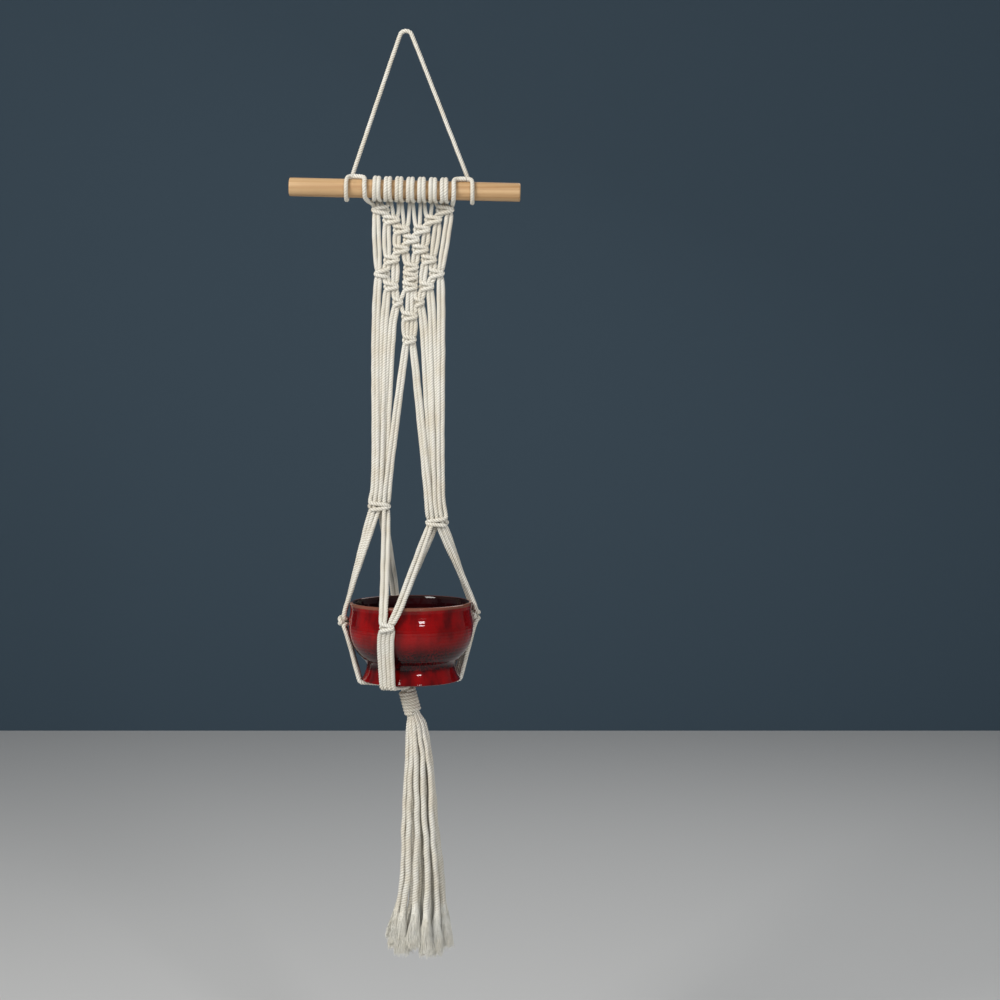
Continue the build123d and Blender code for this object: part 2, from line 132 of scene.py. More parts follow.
@dataclass(frozen=True)
class WoodFinish:
    """Colours and relief of a pale sanded dowel."""

    early: Point = (0.56, 0.365, 0.185)
    late: Point = (0.40, 0.225, 0.095)
    fleck: Point = (0.25, 0.13, 0.055)
    roughness: float = 0.62


@dataclass(frozen=True)
class GlazeFinish:
    """Colours of the pot's red glaze, the painted shade of its speckled dark band low on the belly and of
    its inside, and the tan edge where it runs thin.
    """

    red: Point = (0.25, 0.0012, 0.0018)
    deep: Point = (0.075, 0.0008, 0.0014)
    # Painted shade: the near-black for the band low on the belly and for the pot's inside.
    painted_shade: Point = (0.006, 0.002, 0.003)
    edge: Point = (0.19, 0.075, 0.045)
    roughness: float = 0.06


# Shader nodes written as expressions


class Wire:
    """A shader socket that adds, subtracts and multiplies by making math nodes."""

    def __init__(self, tree: "ShaderTree", socket: Any) -> None:
        """Wrap one output socket of a tree."""
        self.tree = tree
        self.socket = socket

    def _math(self, operation: str, first: Any, second: Any = None) -> "Wire":
        """Add one math node to the tree and return its output."""
        values = [first] if second is None else [first, second]
        return self.tree.node("ShaderNodeMath", inputs=values, operation=operation)

    def __add__(self, other: Any) -> "Wire":
        """Return this value plus the other."""
        return self._math("ADD", self, other)

    def __radd__(self, other: Any) -> "Wire":
        """Return the other plus this value."""
        return self._math("ADD", other, self)

    def __sub__(self, other: Any) -> "Wire":
        """Return this value less the other."""
        return self._math("SUBTRACT", self, other)

    def __rsub__(self, other: Any) -> "Wire":
        """Return the other less this value."""
        return self._math("SUBTRACT", other, self)

    def __mul__(self, other: Any) -> "Wire":
        """Return this value times the other."""
        return self._math("MULTIPLY", self, other)

    def __rmul__(self, other: Any) -> "Wire":
        """Return the other times this value."""
        return self._math("MULTIPLY", other, self)

    def clamp(self) -> "Wire":
        """Return the value held between 0 and 1."""
        return self._math("MINIMUM", self._math("MAXIMUM", self, 0.0), 1.0)

    def step(self, low: float, high: float) -> "Wire":
        """Return 0 below low, 1 above high and a smooth rise between them."""
        return self.tree.node(
            "ShaderNodeMapRange", inputs=[self, low, high, 0.0, 1.0], interpolation_type="SMOOTHSTEP"
        )


class ShaderTree:
    """Builds one material from wires."""

    def __init__(self, name: str) -> None:
        """Make an empty material."""
        self.material = bpy.data.materials.new(name)
        self.material.use_nodes = True
        self.tree = self.material.node_tree
        self.tree.nodes.clear()

    def node(self, kind: str, inputs: Any = (), output: Any = 0, **settings: Any) -> Wire:
        """Add a node.

        Args:
            kind: Blender's node type.
            inputs: Values or wires, as a sequence from the first input or a mapping by name.
            output: Name or index of the output to return.
            **settings: Properties to set on the node before its inputs.

        Returns:
            The chosen output, wrapped.
        """
        made = self.tree.nodes.new(kind)
        for key, value in settings.items():
            setattr(made, key, value)
        pairs = inputs.items() if isinstance(inputs, dict) else enumerate(inputs)
        for key, value in pairs:
            if isinstance(value, Wire):
                self.tree.links.new(value.socket, made.inputs[key])
            else:
                made.inputs[key].default_value = value
        return Wire(self, made.outputs[output] if len(made.outputs) else None)

    def attribute(self, name: str) -> Wire:
        """Return a float attribute of the mesh."""
        return self.node("ShaderNodeAttribute", output="Fac", attribute_name=name)

    def place(self) -> Wire:
        """Return the position in the row frame, which is each object's own frame."""
        return self.node("ShaderNodeTexCoord", output="Object")

    def stretch(self, vector: Wire, scale: Point) -> Wire:
        """Return the vector scaled along each axis."""
        return self.node("ShaderNodeMapping", inputs={"Vector": vector, "Scale": scale})

    def noise(self, vector: Wire, scale: float, detail: float = 4.0, rough: float = 0.55) -> Wire:
        """Return fractal noise of the vector."""
        values = {"Vector": vector, "Scale": scale, "Detail": detail, "Roughness": rough}
        return self.node("ShaderNodeTexNoise", inputs=values, output=0)

    def mix(self, factor: Any, first: Any, second: Any) -> Wire:
        """Return the first colour going over to the second as factor goes from 0 to 1."""
        made = self.tree.nodes.new("ShaderNodeMix")
        made.data_type = "RGBA"
        for index, value in ((0, factor), (6, first), (7, second)):
            if isinstance(value, Wire):
                self.tree.links.new(value.socket, made.inputs[index])
            elif index == 0:
                made.inputs[index].default_value = value
            else:
                made.inputs[index].default_value = (*value[:3], 1.0)
        return Wire(self, made.outputs[2])

    def bump(self, height: Wire, distance: float, strength: float = 1.0) -> Wire:
        """Return the normal of a height field, whose full rise is distance in metres."""
        values = {"Height": height, "Distance": distance, "Strength": strength}
        return self.node("ShaderNodeBump", inputs=values)

    def finish(self, **values: Any) -> bpy.types.Material:
        """Close the tree with one surface shader.

        Args:
            **values: The shader's inputs, with underscores for the spaces in their names.

        Returns:
            The material.
        """
        named = {key.replace("_", " "): value for key, value in values.items()}
        for key, value in named.items():
            if key == "Base Color" and not isinstance(value, Wire):
                named[key] = (*value[:3], 1.0)
        shader = self.node("ShaderNodeBsdfPrincipled", inputs=named)
        self.node("ShaderNodeOutputMaterial", inputs=[shader])
        return self.material


def cotton_material(finish: CottonFinish) -> bpy.types.Material:
    """Twisted cotton: pale crowns, warm painted shade in the grooves between the plies and fine fibres
    along them.
    """
    tree = ShaderTree(finish.name)
    groove = tree.attribute("groove")
    along = tree.attribute("along")
    around = tree.attribute("around")
    fibres_at = tree.node("ShaderNodeCombineXYZ", inputs=[around * 9.0, along * 260.0, 0.0])
    fibres = tree.noise(fibres_at, 6.0, 5.0, 0.65)
    mottle = tree.noise(tree.place(), 60.0, 3.0)
    tone = tree.mix(mottle.step(0.35, 0.7), finish.light, finish.warm)
    lined = tree.mix((fibres.step(0.35, 0.8) * 0.35).clamp(), tone, finish.warm)
    # Painted shade: the grooves between the plies are darkened in the colour itself.
    deep = (groove.step(0.25, 0.95) * 0.92).clamp()
    colour = tree.mix(deep, lined, finish.groove)
    height = fibres * 0.5 - groove * 0.5
    return tree.finish(
        Base_Color=colour,
        Roughness=finish.roughness,
        Normal=tree.bump(height, finish.fibre_depth, 0.8),
    )


def wood_material(finish: WoodFinish) -> bpy.types.Material:
    """Pale dowel: long grain with darker lines, short pores and a slightly uneven polish."""
    tree = ShaderTree("dowel_wood")
    place = tree.place()
    long_grain = tree.stretch(place, (3.0, 260.0, 260.0))
    bands = tree.noise(long_grain, 1.0, 6.0, 0.6)
    pores = tree.noise(tree.stretch(place, (40.0, 1900.0, 1900.0)), 1.0, 2.0)
    patch = tree.noise(tree.stretch(place, (9.0, 60.0, 60.0)), 1.0, 2.0)
    tone = tree.mix(bands.step(0.40, 0.68), finish.early, finish.late)
    tone = tree.mix((patch.step(0.45, 0.75) * 0.35).clamp(), tone, finish.late)
    colour = tree.mix((pores.step(0.62, 0.74) * 0.45).clamp(), tone, finish.fleck)
    return tree.finish(
        Base_Color=colour,
        Roughness=finish.roughness - bands * 0.12,
        Normal=tree.bump(bands * 0.6 - pores.step(0.62, 0.74) * 0.4, 0.00012, 0.6),
    )


def glaze_material(finish: GlazeFinish) -> bpy.types.Material:
    """Gloss red glaze that breaks to tan at the rim, with painted shade as a speckled black band low on
    the belly and over the inside.
    """
    tree = ShaderTree("pot_glaze")
    place = tree.place()
    level = tree.attribute("level")
    inside = tree.attribute("inside")
    flow = tree.noise(tree.stretch(place, (60.0, 60.0, 34.0)), 1.0, 3.0)
    speckle = tree.noise(place, 620.0, 2.0, 0.7)
    body = tree.mix(flow.step(0.35, 0.72), finish.red, finish.deep)
    # Painted shade: a speckled near-black band on the belly's underside, where it turns in to the foot.
    low = 1.0 - (level + (flow - 0.5) * 0.16).step(0.36, 0.60)
    band = low * (level + (flow - 0.5) * 0.10).step(0.13, 0.21)
    underside_shaded = tree.mix((band * (0.62 + speckle.step(0.40, 0.58) * 0.38)).clamp(), body, finish.painted_shade)
    thin = (level + (speckle - 0.5) * 0.02).step(0.952, 0.972)
    edged = tree.mix((thin * 0.85).clamp(), underside_shaded, finish.edge)
    # Painted shade: the pot's inside is made nearly black.
    colour = tree.mix((inside * 0.93).clamp(), edged, finish.painted_shade)
    return tree.finish(
        Base_Color=colour,
        Roughness=finish.roughness + speckle.step(0.5, 0.7) * 0.05,
        Specular_IOR_Level=0.26,
        Normal=tree.bump(flow, 0.0004, 0.25),
    )


# Meshes from whole arrays, and lines for cords


def put_mesh(
    name: str,
    points: Array,
    faces: Sequence[Sequence[int]],
    attributes: dict[str, Array],
    material: bpy.types.Material,
) -> bpy.types.Object:
    """Make a smooth mesh object from whole arrays.

    Args:
        name: The piece's name.
        points: Vertices in millimetres, one row each.
        faces: Vertex indices of each face.
        attributes: Float attributes of the vertices, by name.
        material: The finish of every face.

    Returns:
        The object, linked to the scene at the origin.
    """
    mesh = bpy.data.meshes.new(name)
    mesh.from_pydata(points * MM, [], faces)
    for key, values in attributes.items():
        layer = mesh.attributes.new(key, "FLOAT", "POINT")
        layer.data.foreach_set("value", np.ascontiguousarray(values, dtype=np.float32).ravel())
    mesh.polygons.foreach_set("use_smooth", np.ones(len(mesh.polygons), dtype=bool))
    mesh.materials.append(material)
    mesh.update()
    made = bpy.data.objects.new(name, mesh)
    bpy.context.collection.objects.link(made)
    return made


def ring_faces(rings: int, sides: int) -> list[tuple[int, ...]]:
    """Return the quads between consecutive rings of vertices, each ring closed on itself."""
    ring = np.arange(rings - 1)[:, None] * sides
    around = np.arange(sides)[None, :]
    nxt = (around + 1) % sides
    quads = np.stack([ring + around, ring + nxt, ring + sides + nxt, ring + sides + around], -1)
    return [tuple(quad) for quad in quads.reshape(-1, 4).tolist()]


def closed_faces(rings: int, sides: int) -> list[tuple[int, ...]]:
    """Return the quads between rings and one face over each end."""
    last = (rings - 1) * sides
    first_cap = tuple(reversed(range(sides)))
    return [*ring_faces(rings, sides), first_cap, tuple(range(last, last + sides))]


def spline_points(route: Array, resolution: int = 10) -> Array:
    """Read the smooth line of a route from a quadratic NURBS spline with its points as controls.

    Args:
        route: Control points, one row each, in any unit.
        resolution: Points that the spline gives for each control point.

    Returns:
        The spline's points in order.
    """
    curve = bpy.data.curves.new("route", "CURVE")
    curve.dimensions = "3D"
    spline = curve.splines.new("NURBS")
    spline.points.add(len(route) - 1)
    spline.points.foreach_set("co", np.column_stack([route, np.ones(len(route))]).ravel())
    spline.order_u = 3
    spline.use_endpoint_u = True
    spline.resolution_u = resolution
    holder = bpy.data.objects.new("route", curve)
    bpy.context.collection.objects.link(holder)
    mesh = bpy.data.meshes.new_from_object(holder)
    found = np.empty(len(mesh.vertices) * 3)
    mesh.vertices.foreach_get("co", found)
    bpy.data.objects.remove(holder)
    bpy.data.curves.remove(curve)
    bpy.data.meshes.remove(mesh)
    return found.reshape(-1, 3)


def even_line(line: Array, widths: Array, step: float) -> tuple[Array, Array, Array]:
    """Space a line's points evenly.

    Args:
        line: Points in order.
        widths: A value at each point.
        step: Distance wanted between points.

    Returns:
        The even points, their values and their distances along the line.
    """
    lengths = np.linalg.norm(np.diff(line, axis=0), axis=1)
    keep = np.concatenate([[True], lengths > 1e-6])
    line, widths = line[keep], widths[keep]
    along = np.concatenate([[0.0], np.cumsum(np.linalg.norm(np.diff(line, axis=0), axis=1))])
    count = max(2, round(along[-1] / step) + 1)
    wanted = np.linspace(0.0, along[-1], count)
    points = np.column_stack([np.interp(wanted, along, line[:, k]) for k in range(3)])
    return points, np.interp(wanted, along, widths), wanted


def carried_frames(points: Array) -> tuple[Array, Array, Array]:
    """Return tangents and two normals at each point that turn as little as they can."""
    tangents = np.gradient(points, axis=0)
    tangents /= np.linalg.norm(tangents, axis=1)[:, None]
    side = np.cross(tangents[0], vec(0, 0, 1))
    if np.linalg.norm(side) < 0.1:
        side = np.cross(tangents[0], vec(1, 0, 0))
    sides = np.empty_like(tangents)
    side = unit(side)
    for index, tangent in enumerate(tangents):
        side = side - tangent * np.dot(side, tangent)
        side = side / np.linalg.norm(side)
        sides[index] = side
    return tangents, sides, np.cross(tangents, sides)


def slow_noise(along: Array, wavelength: float, seed: int) -> Array:
    """Return a smooth random value between about -1 and 1 along a line."""
    rng = np.random.default_rng(seed)
    total = np.zeros_like(along)
    for octave in range(3):
        phase, weight = rng.uniform(0, 2 * math.pi), rng.uniform(0.5, 1.0)
        stretch = wavelength / (1.0 + 0.73 * octave)
        total += weight * np.sin(2 * math.pi * along / stretch + phase)
    return total / 2.2


@dataclass
class RopeSection:
    """Three plies laid together, as a section that turns along the cord.

    Lay is the length of one full turn in millimetres and depth the groove's share of the radius.
    Fullness is the drawn width against the tube's, wander how far the cord strays in millimetres,
    swell how much it thickens towards its end and uneven how much its width varies. The last three
    say how far from an end the straying starts and how an unlaid end deepens and widens.
    """

    lay: float = 7.0
    depth: float = 0.27
    sides: int = 18
    step: float = 0.7
    fullness: float = 1.34
    wander: float = 0.16
    swell: float = 0.0
    uneven: float = 0.035
    held: float = 12.0
    opened_depth: float = 0.22
    opened_width: float = 0.45


SWAY_WAVES = (47.0, 61.0)
LAY_WAVE = 90.0
WIDTH_WAVE = 17.0


@dataclass
class Rope:
    """One length of three-ply cord along a route."""

    name: str
    stations: list[Station]
    seed: int
    section: RopeSection = field(default_factory=RopeSection)
    unlaid: float = 0.0
    line: Array = field(init=False)
    length: float = field(init=False)

    def build(self, material: bpy.types.Material) -> bpy.types.Object:
        """Make the cord's mesh.

        Each ring is the outline of three round plies, radius = R (1 - d + d |cos(3 (a - t) / 2)|),
        where a is the angle round the ring and t turns once in each lay.

        Args:
            material: The cord's finish.

        Returns:
            The cord as one mesh object.
        """
        section = self.section
        route = np.array([point for point, _ in self.stations])
        widths = np.array([width for _, width in self.stations])
        smooth = spline_points(route)
        carried = spline_points(np.column_stack([widths, widths * 0, np.arange(len(widths))]))
        points, width, along = even_line(smooth, carried[:, 0], section.step)
        _, normal, binormal = carried_frames(points)
        ends = np.clip(np.minimum(along, along[-1] - along) / section.held, 0, 1)[:, None]
        sway = section.wander * ends
        for index, (way, wave) in enumerate(zip((normal, binormal), SWAY_WAVES)):
            points = points + way * slow_noise(along, wave, self.seed + index)[:, None] * sway
        self.line, self.length = points, float(along[-1])
        turn = 2 * math.pi * along / section.lay + 0.5 * slow_noise(along, LAY_WAVE, self.seed + 2)
        radius = width / 2 * section.fullness
        radius = radius * (1 + section.swell * np.clip(along / along[-1], 0, 1) ** 0.7)
        radius = radius * (1 + section.uneven * slow_noise(along, WIDTH_WAVE, self.seed + 3))
        opened = np.clip((along - (along[-1] - self.unlaid)) / max(self.unlaid, 1e-6), 0, 1)
        depth = section.depth + section.opened_depth * opened
        radius = radius * (1 + section.opened_width * opened**1.5)
        angles = np.linspace(0, 2 * math.pi, section.sides, endpoint=False)
        groove = 1 - np.abs(np.cos(1.5 * (angles[None, :] - turn[:, None])))
        reach = radius[:, None] * (1 - depth[:, None] * groove)
        offset = normal[:, None, :] * np.cos(angles)[None, :, None]
        offset = offset + binormal[:, None, :] * np.sin(angles)[None, :, None]
        vertices = (points[:, None, :] + offset * reach[:, :, None]).reshape(-1, 3)
        faces = closed_faces(len(points), section.sides)
        attributes = {
            # The groove value also paints shade into the grooves, through the cord's material.
            "groove": groove,
            "along": np.repeat(along * MM, section.sides),
            "around": np.tile(angles / (2 * math.pi), len(points)),
        }
        return put_mesh(self.name, vertices, faces, attributes, material)


# Sizes and routes of the hanger, in millimetres


@dataclass(frozen=True)
class CordSizes:
    """Widths of the cord in millimetres where it hangs free, is gripped or is bound."""

    free: float = 3.1
    gripped: float = 2.9
    bound: float = 1.95
    loop: float = 3.3
    wrap: float = 2.5
    strands: int = 16


CORD = CordSizes()


@dataclass(frozen=True)
class DowelForm:
    """The dowel's axis and surface."""

    length: float = 200.0
    radius: float = 8.0
    slope: float = math.radians(1.4)
    centre: Point = (-1.3, 0.0, -134.0)
    clear: float = 0.35
    step: int = 30

    def axis(self) -> Array:
        """Return the dowel's direction, from its left end to its right one."""
        return vec(math.cos(self.slope), 0.0, -math.sin(self.slope))

    def point(self, along: float, angle: float, radius: float) -> Array:
        """Return a point beside the dowel; the angle is 0 in front, 90 on top, 180 behind."""
        turn = math.radians(angle)
        up = vec(math.sin(self.slope), 0.0, math.cos(self.slope))
        out = up * math.sin(turn) - vec(0, 1, 0) * math.cos(turn)
        return np.array(self.centre) + self.axis() * along + out * radius

    def wrap_radius(self, width: float) -> float:
        """Return how far out the corners of a cord's route round the dowel stand."""
        return (self.radius + self.clear + width / 2) / math.cos(math.radians(self.step / 2))


DOWEL = DowelForm()


@dataclass(frozen=True)
class Knot:
    """A square knot: two workers cross before and behind the fillers, and back."""

    strands: tuple[int, ...]
    top: Point
    pitch: float
    width: float
    facing: float = 0.0
    layers: int = 1
    front: Side = Side.LEFT
    height: float = 2.45

    def place(self, across: float, depth: float, down: float) -> Array:
        """Return a point from its place across, into and down the knot."""
        turn = math.radians(self.facing)
        right = vec(math.cos(turn), math.sin(turn), 0.0)
        back = vec(-math.sin(turn), math.cos(turn), 0.0)
        return np.array(self.top) + right * across + back * depth - vec(0, 0, down)

    @property
    def columns(self) -> int:
        """Number of filler columns side by side."""
        return (len(self.strands) - 2) // self.layers

    def filler(self, order: int) -> list[Array]:
        """Return the two points of a straight filler."""
        column, layer = divmod(order, self.layers)
        across = (column - (self.columns - 1) / 2) * self.pitch
        depth = (layer - (self.layers - 1) / 2) * self.width * 1.02
        full = self.height * self.width
        return [self.place(across, depth, share * full) for share in (0.04, 0.96)]

    def worker(self, side: Side) -> list[Array]:
        """Return the points of the worker that starts on a side."""
        edge = (self.columns + 1) / 2 * self.pitch
        inner = edge - 0.72 * self.pitch
        sign = side.value
        depth = (-1 if side is self.front else 1) * (self.layers + 1) / 2 * self.width * 1.02
        turn = math.copysign(0.65 * self.width, depth)
        half = [
            (sign * edge, 0.0, 0.10),
            (sign * inner, depth, 0.30),
            (-sign * inner, depth, 0.70),
            (-sign * edge, turn, 0.92),
        ]
        back = [(across, into, self.height - down) for across, into, down in reversed(half)]
        return [self.place(a, into, down * self.width) for a, into, down in half + back]

    def route(self, strand: int) -> list[Station]:
        """Return one strand's stations through the knot."""
        order = self.strands.index(strand)
        if order == 0:
            points = self.worker(Side.LEFT)
        elif order == len(self.strands) - 1:
            points = self.worker(Side.RIGHT)
        else:
            points = self.filler(order - 1)
        return [(point, self.width) for point in points]


@dataclass(frozen=True)
class Panel:
    """The knotted panel: spacing of the strands by level and the rows of square knots."""

    levels: tuple[Point, ...] = (
        (-147.3, 5.3, 4.70), (-193.6, 2.7, 4.10), (-220.0, 1.3, 3.80), (-255.0, 0.9, 3.60),
    )
    depth: float = 9.6
    belly_z: float = -512.7
    share: float = 0.93
    rows: tuple[tuple[float, tuple[tuple[int, int], ...]], ...] = (
        (-150.9, ((1, 4), (13, 16))),
        (-159.4, ((3, 6), (11, 14))),
        (-167.9, ((5, 8), (9, 12))),
        (-176.4, ((7, 10),)),
        (-184.9, ((5, 8), (9, 12))),
        (-194.0, ((3, 6), (11, 14))),
        (-206.0, ((1, 4), (13, 16))),
        (-217.1, ((3, 6), (11, 14))),
        (-230.8, ((5, 7), (10, 12))),
    )
    sennit: tuple[tuple[float, float], ...] = (
        (-196.9, 3.5), (-205.3, 3.5), (-213.7, 3.5), (-239.5, 3.9), (-260.0, 3.2),
    )
    middle_shift: float = 1.0
    column_z: float = -255.0
    left_column: tuple[float, float] = (-29.7, 3.52)
    right_column: tuple[float, float] = (13.4, 3.62)

    def at(self, z: float) -> tuple[float, float]:
        """Return the panel's middle and strand spacing at a level."""
        heights = [-level[0] for level in self.levels]
        middle = float(np.interp(-z, heights, [level[1] for level in self.levels]))
        pitch = float(np.interp(-z, heights, [level[2] for level in self.levels]))
        return middle, pitch

    def x(self, strand: int, z: float) -> float:
        """Return where a strand hangs at a level."""
        middle, pitch = self.at(z)
        return middle + (strand - (CORD.strands + 1) / 2) * pitch

    def y(self, z: float) -> float:
        """Return the panel's depth, which leans from behind the dowel to the pot's middle."""
        return self.depth * (z - self.belly_z) / (DOWEL.centre[2] - self.belly_z)

    def column(self, strand: int) -> list[Station]:
        """Return where a side strand hangs in its flat column, or nothing for a middle strand."""
        if 7 <= strand <= 10:
            return []
        first, pitch = self.left_column if strand < 7 else self.right_column
        order = strand - 1 if strand < 7 else strand - 11
        return [(vec(first + order * pitch, self.y(self.column_z), self.column_z), CORD.free)]

    def knots(self) -> list[Knot]:
        """Return every knot of the panel from the top down."""
        made = []
        for z, groups in self.rows:
            for first, last in groups:
                middle = (self.x(first, z) + self.x(last, z)) / 2
                top = (middle, self.y(z), z + 2.45 * CORD.gripped / 2)
                strands = tuple(range(first, last + 1))
                front = Side.RIGHT if first == 1 else Side.LEFT
                pitch = self.at(z)[1] * self.share
                made.append(Knot(strands, top, pitch, CORD.gripped, front=front))
        for z, pitch in self.sennit:
            middle = (self.x(7, z) + self.x(10, z)) / 2 + self.middle_shift
            made.append(Knot((7, 8, 9, 10), (middle, self.y(z), z), pitch, CORD.gripped))
        return sorted(made, key=lambda knot: -knot.top[2])


@dataclass(frozen=True)
class PotForm:
    """The pot's axis and outline, as radius and level.

    The foot's levels are from the foot's underside and the base's from the inside floor.
    """

    x: float = 3.0
    rim_top: float = -492.0
    outline: tuple[tuple[float, float], ...] = (
        (53.4, -493.6), (52.9, -499.8), (54.3, -507.5), (54.2, -516.5), (52.0, -526.5),
        (47.8, -535.0), (43.0, -540.8), (39.6, -544.6), (39.1, -549.0), (40.8, -554.8),
        (43.1, -559.9),
    )
    inner: tuple[tuple[float, float], ...] = (
        (37.8, -538.7), (47.1, -526.1), (50.8, -512.7), (48.7, -499.8), (49.9, -493.6),
    )
    foot: tuple[tuple[float, float], ...] = (
        (0.01, 1.6), (30.0, 1.6), (34.6, 1.5), (35.6, 0.3), (36.4, 0.0), (41.8, 0.0), (42.8, 0.3),
    )
    base: tuple[tuple[float, float], ...] = ((29.0, -0.1), (20.0, -0.15), (0.01, -0.2))
    foot_z: float = -560.7
    floor: float = 5.0
    floor_radius: float = 31.6

    def around(self, azimuth: float, radius: float, across: float, z: float) -> Array:
        """Return a point in a direction round the pot, moved across it, at a level."""
        turn = math.radians(azimuth)
        return vec(
            self.x + radius * math.sin(turn) + across * math.cos(turn),
            -radius * math.cos(turn) + across * math.sin(turn),
            z,
        )


POT = PotForm()


@dataclass(frozen=True)
class Cradle:
    """The knots round the pot, the bundle under it and the wrap that binds it."""

    knot_radius: float = 59.2
    pitch: float = 3.9
    width: float = 2.9
    rim_radius: float = 55.3
    rim_z: float = -491.0
    wrap_top: Point = (-1.1, 0.0, -568.6)
    wrap_bottom: Point = (4.9, 0.0, -591.0)
    turns: int = 7
    flare: float = 9.0
    flare_spread: float = 7.4
    hub: float = 14.0
    under_pot: tuple[tuple[float, float], ...] = (
        (-3.3, -564.9), (-0.5, -565.4), (0.5, -562.6), (3.3, -564.9),
    )
    front_over_rim: tuple[float, ...] = (-6.2, -2.2, 8.0, 12.5)

    @property
    def inner(self) -> float:
        """Radius of the bundle's inner strands."""
        return 0.72 * CORD.bound

    @property
    def outer(self) -> float:
        """Radius of the bundle's outer strands."""
        return 1.95 * CORD.bound

    def axis(self) -> Array:
        """Return the wrap's direction, downwards."""
        return unit(np.array(self.wrap_bottom) - np.array(self.wrap_top))

    def across(self) -> Array:
        """Return the direction square to the wrap's axis, towards +X."""
        axis = self.axis()
        return vec(-axis[2], 0.0, axis[0])


CRADLE = Cradle()

# The level of each cradle knot, the strands that it ties, and how they lie in the bound bundle in degrees
KNOT_LEVEL = {
    Heading.FRONT: -504.4, Heading.RIGHT: -502.6, Heading.BACK: -504.6, Heading.LEFT: -505.6,
}
GROUPS = {
    Heading.FRONT: (7, 8, 9, 10),
    Heading.RIGHT: (15, 13, 16, 14),
    Heading.BACK: (12, 11, 6, 5),
    Heading.LEFT: (3, 1, 2, 4),
}
BUNDLE_TURN = {
    Heading.FRONT: -12.0, Heading.RIGHT: 78.0, Heading.BACK: 168.0, Heading.LEFT: 258.0,
}
SLOT_TURN = (-30.0, 0.0, 0.0, 30.0)


@dataclass(frozen=True)
class Tassel:
    """How the free ends hang: level, middle and radius of the outer strands."""

    levels: tuple[Point, ...] = (
        (-624.0, 9.9, 9.8), (-655.0, 10.4, 12.2), (-695.0, 10.8, 14.4),
        (-738.0, 11.9, 17.4), (-769.0, 10.0, 21.3),
    )
    end: float = -795.0
    end_middle: float = 9.0
    end_radius: float = 23.0
    ragged: float = 5.5
    inner: float = 0.42
    sway: float = 5.0


TASSEL = Tassel()


